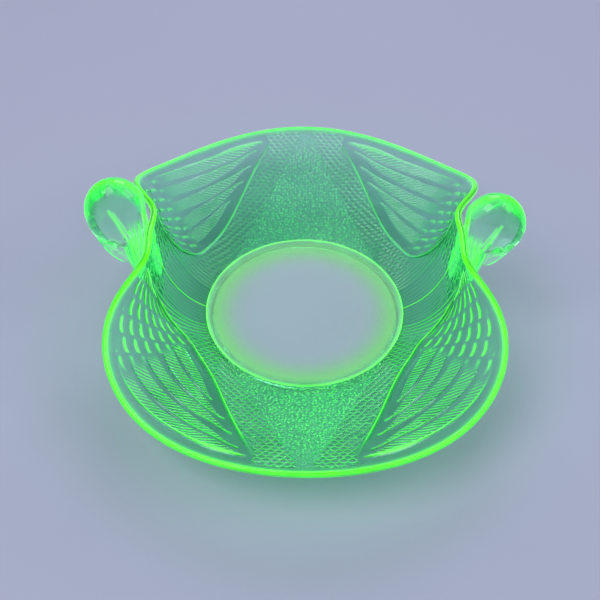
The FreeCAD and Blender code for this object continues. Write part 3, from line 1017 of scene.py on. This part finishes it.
def flank_grid(size, relief):
    """Azimuths and climbs of a flank. Its low line runs along the foot and up the panel's edge; its high line
    runs along the rib, up the side of the wing's tip and along the rim band."""
    foot_corner = panel_azimuth(size, np.zeros(1))[0]
    climbs = spread(0, BAND, 400)
    knee = climbs[np.argmax(panel_azimuth(size, climbs) >= PANEL_TOP - 1e-6)]
    half, tip = FLANK_HALF_COLUMNS, FLANK_TIP_COLUMNS
    up_panel = spread(0, knee, half + 1)
    low_azimuth = [
        spread(BREAST_END, foot_corner, half + 1)[:-1],
        panel_azimuth(size, up_panel),
        np.full(tip, PANEL_TOP),
    ]
    low_climb = [np.zeros(half), up_panel, spread(knee, BAND, tip + 1)[1:]]
    along_rib = spread(BREAST_END, WING_TIP, 2 * half + tip + 1 - 4 * tip)
    tip_climb = rib_edge(size, np.array([WING_TIP]), -relief.rib_half)[0]
    high_azimuth = [
        along_rib[:-1],
        np.full(2 * tip + 1, WING_TIP),
        spread(WING_TIP, PANEL_TOP, 2 * tip + 1)[1:],
    ]
    high_climb = [
        rib_edge(size, along_rib[:-1], -relief.rib_half),
        spread(tip_climb, BAND, 2 * tip + 1),
        np.full(2 * tip, BAND),
    ]
    rows = spread(0, 1, FLANK_ROWS)
    azimuth = between(np.concatenate(low_azimuth), np.concatenate(high_azimuth), rows)
    return azimuth, between(np.concatenate(low_climb), np.concatenate(high_climb), rows)


class SWANBOWL_OT_flanks(bpy.types.Operator):
    """Build the scaled bands between the wing ribs and the panels"""

    bl_idname = "swanbowl.flanks"
    bl_label = "Scaled flanks"

    def execute(self, context):
        size, relief = context.scene.bowl_sizes, context.scene.relief_sizes
        grid = wall_shell(size, relief, flank_relief, *flank_grid(size, relief), COARSE)
        place_in_quarters("flank", grid, "wall", "wall_glass")
        return {"FINISHED"}


class SWANBOWL_OT_wings(bpy.types.Operator):
    """Build the feathered wings"""

    bl_idname = "swanbowl.wings"
    bl_label = "Feathered wings"

    def execute(self, context):
        size, relief = context.scene.bowl_sizes, context.scene.relief_sizes
        columns, rows = WING_GRID
        azimuth = spread(BREAST_END, WING_TIP, columns)
        low = rib_edge(size, azimuth, relief.rib_half)
        climb = between(low, np.full(columns, BAND), spread(0, 1, rows))
        azimuth = np.tile(azimuth[:, None], (1, rows))
        grid = wall_shell(size, relief, wing_relief, azimuth, climb, WING_COARSE)
        place_in_quarters("wing", grid, "wall", "wall_glass")
        return {"FINISHED"}


class SWANBOWL_OT_ribs(bpy.types.Operator):
    """Build the raised ribs between the flanks and the wings"""

    bl_idname = "swanbowl.ribs"
    bl_label = "Wing ribs"

    def execute(self, context):
        size, relief = context.scene.bowl_sizes, context.scene.relief_sizes
        columns, rows = RIB_GRID

        def arch(_size, _relief, azimuth, climb, point):
            across = spread(0, math.pi, rows)[None, :] + 0 * azimuth
            ends = smooth_step(BREAST_END, BREAST_END + 4, azimuth)
            ends = ends * (1 - smooth_step(WING_TIP - 7, WING_TIP, azimuth))
            return relief.rib_proud * np.sin(across) ** 1.5 * ends, 0.15 + 0.85 * np.sin(across) ** 4 * ends

        azimuth = spread(BREAST_END, WING_TIP, columns)
        low, high = (rib_edge(size, azimuth, side * relief.rib_half) for side in (-1, 1))
        climb = between(low, high, spread(0, 1, rows))
        grid = wall_shell(size, relief, arch, np.tile(azimuth[:, None], (1, rows)), climb, COARSE)
        place_in_quarters("wing_rib", grid, "rim", "rim_glass")
        return {"FINISHED"}


def rim_section(size, azimuth):
    """The section of the rim at each azimuth: up the inside, round the lip as half an ellipse, down the
    outside. Its first and last points are the margins that lie inside the wall."""
    climb = spread(BAND, RIM_END, RIM_ROWS)
    turn, level = np.meshgrid(azimuth, climb, indexing="ij")
    near = inside(size, turn, level)
    into = into_bowl(size, turn, level)
    far = near - into * thickness(size, level)
    up = unit(slopes(size, azimuth, np.full_like(azimuth, RIM_END))[1])
    middle = (near[:, -1] + far[:, -1]) / 2
    bend = spread(0, math.pi, LIP_ROWS + 2)[1:-1][None, :, None]
    across, over = (near[:, -1] - middle)[:, None], up[:, None] * size.lip
    lip = middle[:, None] + across * np.cos(bend) + over * np.sin(bend)
    low_in = near[:, :1] + unit(near[:, :1] - near[:, 1:2]) * REACH - into[:, :1] * SINK
    low_out = far[:, :1] + unit(far[:, :1] - far[:, 1:2]) * REACH + into[:, :1] * SINK
    return np.concatenate([low_in, near, lip, far[:, ::-1], low_out], 1)


class SWANBOWL_OT_rims(bpy.types.Operator):
    """Build the rounded rim bands at the front and back"""

    bl_idname = "swanbowl.rims"
    bl_label = "Rim bands"

    def execute(self, context):
        size = context.scene.bowl_sizes
        azimuth = spread(0, math.pi, RIM_COLUMNS)
        section = rim_section(size, azimuth)
        first = section[:1] - [(0, REACH, 0)]
        last = section[-1:] - [(0, REACH, 0)]
        section = np.concatenate([first, section, last])
        count = section.shape[1]
        ids = grid_numbers(*section.shape[:2])
        ids = closed_across(ids)
        cap = np.arange(count // 2 - 1)
        caps = [np.stack([row[cap], row[cap + 1], row[count - 2 - cap], row[count - 1 - cap]], -1)
                for row in (ids[0], ids[-1])]
        quads = grid_faces(ids)
        column, segment = np.divmod(np.arange(len(quads)), count)
        hidden = np.isin(segment, [0, count - 2, count - 1]) | np.isin(column, [0, len(section) - 2])
        faces = [np.concatenate([quads, caps[0], caps[1][:, ::-1]])]
        joints = [np.concatenate([hidden, np.ones(2 * len(cap), bool)])]
        rise = 0.2 + 0.8 * spread(0, 1, RIM_ROWS) ** 3
        over = spread(0, 1, LIP_ROWS + 2)[1:-1]
        lip = 1 - 0.45 * np.exp(-(((over - 0.62) / 0.12) ** 2))
        around = np.concatenate([[0.2], rise, lip, rise[::-1], [0.2]])
        near_swans = np.pad(fading(azimuth, size.side_at, size.side_power), 1, mode="edge")
        for end, sign, dim in (("back", 1, BACK_DIM), ("front", -1, FRONT_DIM)):
            glow = np.outer(1 - dim * (1 - near_swans), around).ravel()
            make_piece(f"rim_{end}", mirrored(section.reshape(-1, 3), 1, sign), faces, joints, glow,
                       glass_for("rim"), "rim_glass", [f"rim_{end}"])
        return {"FINISHED"}


# ---------------------------------------------------------------- operators: the swans

# Stations of neck and bill in millimetres: X, Z, half width along X, half width along Y
NECK = [
    (91.0, 33.0, 5.5, 8.5),
    (94.5, 48.0, 8.0, 10.5),
    (95.0, 66.0, 8.5, 10.5),
    (98.0, 80.0, 8.5, 9.5),
    (101.0, 87.0, 7.5, 8.5),
]
NECK_RINGS, BILL_RINGS = 97, 65
BILL = [(111.0, 70.0, 9.0, 9.0), (108.5, 58.0, 6.5, 6.0), (102.5, 46.0, 3.0, 3.2)]


def swept_ovals(stations, degree, count):
    """A closed tube of ovals along a line in the plane Y = 0. Place and half widths are polynomials that fit
    the stations; both ends are rounded to a point."""
    stations = np.array(stations) * MM
    knots = spread(0, 1, len(stations))
    share = spread(0, 1, count)
    fits = [np.polyfit(knots, column, degree) for column in stations.T]
    x, z, half_in, half_across = (np.polyval(fit, share) for fit in fits)
    line = np.stack([x, z], -1)
    along = unit(np.gradient(line, axis=0))
    ends = np.sqrt(np.clip(1 - np.abs(2 * share - 1) ** 7, 0, 1))
    turn = full_turn(TUBE_COLUMNS)
    flat = np.outer(half_in * ends, np.cos(turn))
    points = np.stack([x[:, None] + along[:, 1:] * flat, np.outer(half_across * ends, np.sin(turn)),
                       z[:, None] - along[:, :1] * flat], -1)
    ids = grid_numbers(count, TUBE_COLUMNS)
    return points.reshape(-1, 3), grid_faces(closed_across(ids))


def head_ball(swan):
    """The crown: an ellipsoid of the head's half sizes, tilted towards the bowl."""
    height = spread(0, math.pi, BALL_ROWS)
    turn = full_turn(TUBE_COLUMNS)
    ball = np.stack([np.outer(np.sin(height), np.cos(turn)), np.outer(np.sin(height), np.sin(turn)),
                     np.outer(np.cos(height), np.ones(TUBE_COLUMNS))], -1) * np.array(swan.head_half)
    cosine, sine = math.cos(swan.head_tilt), math.sin(swan.head_tilt)
    x, z = ball[..., 0] * cosine - ball[..., 2] * sine, ball[..., 0] * sine + ball[..., 2] * cosine
    points = np.stack([x, ball[..., 1], z], -1) + np.array(swan.head_at)
    ids = grid_numbers(BALL_ROWS, TUBE_COLUMNS)
    return points.reshape(-1, 3), grid_faces(closed_across(ids))


def melted(parts, voxel):
    """Points and quads of closed parts melted into one skin by a voxel remesh and a light smoothing."""
    points = np.concatenate([p for p, _ in parts])
    starts = np.cumsum([0] + [len(p) for p, _ in parts[:-1]])
    faces = np.concatenate([f + s for (_, f), s in zip(parts, starts)])
    mesh = bpy.data.meshes.new("melting")
    mesh.from_pydata(points.tolist(), [], faces.tolist())
    mesh.validate()
    lump = bpy.data.objects.new("melting", mesh)
    bpy.context.scene.collection.objects.link(lump)
    remesh = lump.modifiers.new("melt", "REMESH")
    remesh.mode = "VOXEL"
    remesh.voxel_size = voxel
    smooth = lump.modifiers.new("fire_polish", "SMOOTH")
    smooth.factor, smooth.iterations = 0.5, 4
    bpy.context.view_layer.update()
    done = bpy.data.meshes.new_from_object(lump.evaluated_get(bpy.context.evaluated_depsgraph_get()))
    co = np.empty(len(done.vertices) * 3, np.float32)
    normal = np.empty(len(done.vertices) * 3, np.float32)
    quads = np.empty(len(done.loops), np.int32)
    done.vertices.foreach_get("co", co)
    done.vertex_normals.foreach_get("vector", normal)
    done.loops.foreach_get("vertex_index", quads)
    bpy.data.objects.remove(lump)
    bpy.data.meshes.remove(mesh)
    bpy.data.meshes.remove(done)
    return co.reshape(-1, 3).astype(float), normal.reshape(-1, 3).astype(float), quads.reshape(-1, 4)


def wall_behind(size, y, z):
    """X of the outside of the wall at each y and z, by Newton's method on azimuth and climb."""
    azimuth, climb = y / (90 * MM), (z - size.floor_top) / (63 * MM)  # a first guess
    step = 1e-4

    def outside(a, c):
        return inside(size, a, c) - into_bowl(size, a, c) * thickness(size, c)

    for _ in range(8):
        here = outside(azimuth, climb)
        by_a = (outside(azimuth + step, climb) - here) / step
        by_c = (outside(azimuth, climb + step) - here) / step
        miss_y, miss_z = y - here[:, 1], z - here[:, 2]
        area = by_a[:, 1] * by_c[:, 2] - by_c[:, 1] * by_a[:, 2]
        azimuth = azimuth + (miss_y * by_c[:, 2] - by_c[:, 1] * miss_z) / area
        climb = np.clip(climb + (by_a[:, 1] * miss_z - miss_y * by_a[:, 2]) / area, 0.05, 1)
    return outside(azimuth, climb)[:, 0]


def line_distance(x, z, corners):
    """Distance in the plane Y = 0 to a line through corners given in millimetres."""
    corners = np.array(corners) * MM
    nearest = np.full_like(x, 1.0)
    for (ax, az), (bx, bz) in zip(corners[:-1], corners[1:]):
        run_x, run_z = bx - ax, bz - az
        share = np.clip(((x - ax) * run_x + (z - az) * run_z) / (run_x**2 + run_z**2), 0, 1)
        nearest = np.minimum(nearest, np.hypot(x - ax - share * run_x, z - az - share * run_z))
    return nearest


# Lines on a swan's sides, as X and Z in millimetres
CHEEK_LINE = [(105.5, 89.0), (102.0, 82.0), (99.5, 74.0), (98.0, 65.0), (97.0, 55.0), (94.0, 43.0)]
BILL_LINE = [(118.5, 67.0), (112.0, 64.0), (106.5, 58.0)]
MOUTH_LINE = [(115.0, 60.0), (109.5, 53.0), (104.0, 46.5)]
EYE_AT = (109.0, 62.0)
SECOND_CHEEK = (-2.4, -1.0)  # from the cheek line to the line beside it
FIBRE_PITCH = 2.6 * MM
LIFTED_FROM = (50 * MM, 85 * MM)  # heights over which a head's lift sets in


def engraved(x, z, corners, half):
    """A Gaussian groove of the given half width along a line through corners, from 0 to 1."""
    return np.exp(-((line_distance(x, z, corners) / half) ** 2))


def swan_details(x, z, sideways):
    """The lines, the eye and the neck's fibres on a swan's two flat sides, each from 0 to 1."""
    eye = np.hypot(x - EYE_AT[0] * MM, z - EYE_AT[1] * MM)
    flat = smooth_step(0.3, 0.7, sideways)
    neck = (1 - smooth_step(74 * MM, 84 * MM, z)) * smooth_step(35 * MM, 42 * MM, z)
    neck *= 1 - smooth_step(96 * MM, 98 * MM, x)
    return {
        "cheek": engraved(x, z, CHEEK_LINE, 0.9 * MM) * sideways,
        "second": engraved(x, z, np.array(CHEEK_LINE) + SECOND_CHEEK, 0.7 * MM) * sideways,
        "root": engraved(x, z, BILL_LINE, 0.9 * MM) * sideways,
        "mouth": engraved(x, z, MOUTH_LINE, 0.6 * MM) * sideways,
        "socket": np.exp(-((eye / (1.2 * MM)) ** 2)) * flat,
        "lid": np.exp(-(((eye - 2.3 * MM) / (0.5 * MM)) ** 2)) * flat,
        "neck": neck,
        "fibres": (0.5 + 0.5 * np.cos(2 * math.pi * (x / FIBRE_PITCH))) ** 2 * neck * sideways,
    }


# How far each detail stands out, in millimetres, and how strongly it glows
CARVED = {
    "cheek": -0.9,
    "second": -0.5,
    "root": -0.8,
    "mouth": -0.5,
    "socket": -0.8,
    "fibres": 0.45,
    "lid": 0.35,
}
LINES_LIT = {
    "cheek": 0.9,
    "second": 0.8,
    "root": 0.5,
    "mouth": 0.6,
    "lid": 0.5,
    "fibres": 0.95,
    "neck": 0.55,
}


class SWANBOWL_OT_swans(bpy.types.Operator):
    """Build the two swan handles"""

    bl_idname = "swanbowl.swans"
    bl_label = "Swans"

    def execute(self, context):
        size, swan = context.scene.bowl_sizes, context.scene.swan_sizes
        parts = [swept_ovals(NECK, 3, NECK_RINGS), head_ball(swan), swept_ovals(BILL, 2, BILL_RINGS)]
        points, normal, quads = melted(parts, swan.grain)
        x, y, z = points.T
        sideways = np.abs(normal[:, 1])
        details = swan_details(x, z, sideways)
        carve = sum(amount * MM * details[key] for key, amount in CARVED.items())
        points = points + normal * carve[:, None]
        rim_height = rim_line(size, np.zeros(1))[1][0] - 0.5 * MM
        wall_x = wall_behind(size, points[:, 1], np.minimum(points[:, 2], rim_height))
        points[:, 0] = np.maximum(points[:, 0], wall_x - SINK)
        glow = np.maximum.reduce([amount * details[key] for key, amount in LINES_LIT.items()])
        glow = np.clip(np.maximum(glow, self.thick_edges(swan, x, z, sideways)), 0, 1)
        for side, sign, lift in (("right", 1, swan.right_lift), ("left", -1, swan.left_lift)):
            lifted = points + np.outer(smooth_step(*LIFTED_FROM, z) * lift, (0, 0, 1))
            nodes = [f"swan_neck_{side}", f"swan_head_{side}"]
            make_piece(f"swan_{side}", mirrored(lifted, sign, 1), [quads], [np.zeros(len(quads), bool)], glow,
                       glass_for("swan"), "swan_glass", nodes)
        return {"FINISHED"}

    def thick_edges(self, swan, x, z, sideways):
        """Glow of the crown's edge and, weaker, of the neck's foot."""
        out = np.hypot((x - swan.head_at[0]) / swan.head_half[0], (z - swan.head_at[2]) / swan.head_half[2])
        crown = (1 - sideways) ** 1.2 * smooth_step(0.78, 0.92, out) * smooth_step(66 * MM, 80 * MM, z)
        foot = (1 - sideways) ** 2 * (1 - smooth_step(55 * MM, 66 * MM, z)) * 0.6
        return np.maximum(crown, foot)


# ---------------------------------------------------------------- operator: the stage


STUDIO_HALF, STUDIO_LINES = 3, 25  # half width of the studio floor, lines of its grid
STUDIO_DROP = 0.2 * MM  # how far it lies under the foot ring
AIR_COLOUR, AIR_STRENGTH = (0.60, 0.63, 0.80, 1), 0.35
# Name, place, width, power and colour of each light
LIGHTS = (
    ("key_light", (-0.7, -0.5, 1.3), 0.9, 9.0, (0.92, 0.95, 1.0)),
    ("fill_light", (0.9, -0.3, 0.9), 0.8, 3.5, (0.90, 0.93, 1.0)),
    ("back_light", (0.1, 1.1, 1.0), 0.7, 5.0, (0.85, 0.88, 1.0)),
)


def area_light(name, place, width, power, colour):
    """A square soft light at place, turned to the bowl."""
    light = bpy.data.lights.new(name, "AREA")
    light.shape, light.size, light.energy, light.color = "SQUARE", width, power, colour
    lamp = bpy.data.objects.new(name, light)
    x, y, z = place
    lamp.location = place
    lamp.rotation_euler = (math.atan2(math.hypot(x, y), z), 0, math.atan2(-y, -x) - math.pi / 2)
    bpy.context.scene.collection.objects.link(lamp)


class SWANBOWL_OT_stage(bpy.types.Operator):
    """Set up the floor, the lights and the camera"""

    bl_idname = "swanbowl.stage"
    bl_label = "Stage"

    def execute(self, context):
        studio = context.scene.studio_settings
        along = spread(-STUDIO_HALF, STUDIO_HALF, STUDIO_LINES)
        x, y = np.meshgrid(along, along, indexing="ij")
        points = np.stack([x, y, 0 * x - STUDIO_DROP], -1).reshape(-1, 3)
        quads = grid_faces(grid_numbers(STUDIO_LINES, STUDIO_LINES))
        mesh = bpy.data.meshes.new("studio_floor")
        mesh.from_pydata(points.tolist(), [], quads.tolist())
        mesh.materials.append(self.floor_paint(studio))
        floor = bpy.data.objects.new("studio_floor", mesh)
        context.scene.collection.objects.link(floor)
        for light in LIGHTS:
            area_light(*light)
        world = bpy.data.worlds.new("studio_air")
        world.use_nodes = True
        background = world.node_tree.nodes["Background"]
        background.inputs["Color"].default_value = AIR_COLOUR
        background.inputs["Strength"].default_value = AIR_STRENGTH
        context.scene.world = world
        camera = bpy.data.cameras.new("camera")
        camera.lens, camera.sensor_width = studio.lens, 36
        camera.clip_start, camera.clip_end = 0.01, 20
        holder = bpy.data.objects.new("camera", camera)
        holder.location, holder.rotation_euler = studio.camera_at, studio.camera_turn
        context.scene.collection.objects.link(holder)
        context.scene.camera = holder
        context.scene.view_settings.view_transform = "Standard"
        return {"FINISHED"}

    def floor_paint(self, studio):
        """Matt paint with a faint mottle."""
        material = bpy.data.materials.new("studio_floor_paint")
        material.use_nodes = True
        tree = material.node_tree
        place = tree.nodes.new("ShaderNodeTexCoord").outputs["Object"]
        shade = tuple(0.97 * c for c in studio.floor)
        colour = mixed_colour(tree, noise(tree, place, 6.0), (*studio.floor, 1), (*shade, 1))
        tree.links.new(colour, tree.nodes["Principled BSDF"].inputs["Base Color"])
        tree.nodes["Principled BSDF"].inputs["Roughness"].default_value = 0.9
        return material


# ---------------------------------------------------------------- the add-on

BUILDERS = (
    SWANBOWL_OT_stage,
    SWANBOWL_OT_floor,
    SWANBOWL_OT_foot,
    SWANBOWL_OT_panels,
    SWANBOWL_OT_breasts,
    SWANBOWL_OT_flanks,
    SWANBOWL_OT_wings,
    SWANBOWL_OT_ribs,
    SWANBOWL_OT_rims,
    SWANBOWL_OT_swans,
)


class SWANBOWL_PT_sidebar(bpy.types.Panel):
    """The builders, in order."""

    bl_idname = "SWANBOWL_PT_sidebar"
    bl_label = "Swan Bowl"
    bl_space_type = "VIEW_3D"
    bl_region_type = "UI"
    bl_category = "Swan Bowl"

    def draw(self, context):
        for builder in BUILDERS:
            self.layout.operator(builder.bl_idname)
        for group in ("bowl_sizes", "relief_sizes", "swan_sizes", "glass_colours", "studio_settings"):
            box = self.layout.box()
            settings = getattr(context.scene, group)
            for key in settings.__annotations__:
                box.prop(settings, key)


SETTINGS = (
    ("bowl_sizes", BowlSizes),
    ("relief_sizes", ReliefSizes),
    ("swan_sizes", SwanSizes),
    ("glass_colours", GlassColours),
    ("studio_settings", StudioSettings),
)


def register():
    for name, group in SETTINGS:
        bpy.utils.register_class(group)
        setattr(bpy.types.Scene, name, PointerProperty(type=group))
    for cls in (*BUILDERS, SWANBOWL_PT_sidebar):
        bpy.utils.register_class(cls)


def unregister():
    for cls in (SWANBOWL_PT_sidebar, *reversed(BUILDERS)):
        bpy.utils.unregister_class(cls)
    for name, group in reversed(SETTINGS):
        delattr(bpy.types.Scene, name)
        bpy.utils.unregister_class(group)


def main():
    register()
    bpy.ops.swanbowl.stage()
    bpy.ops.swanbowl.floor()
    bpy.ops.swanbowl.foot()
    bpy.ops.swanbowl.panels()
    bpy.ops.swanbowl.breasts()
    bpy.ops.swanbowl.flanks()
    bpy.ops.swanbowl.wings()
    bpy.ops.swanbowl.ribs()
    bpy.ops.swanbowl.rims()
    bpy.ops.swanbowl.swans()


if __name__ == "__main__":
    main()
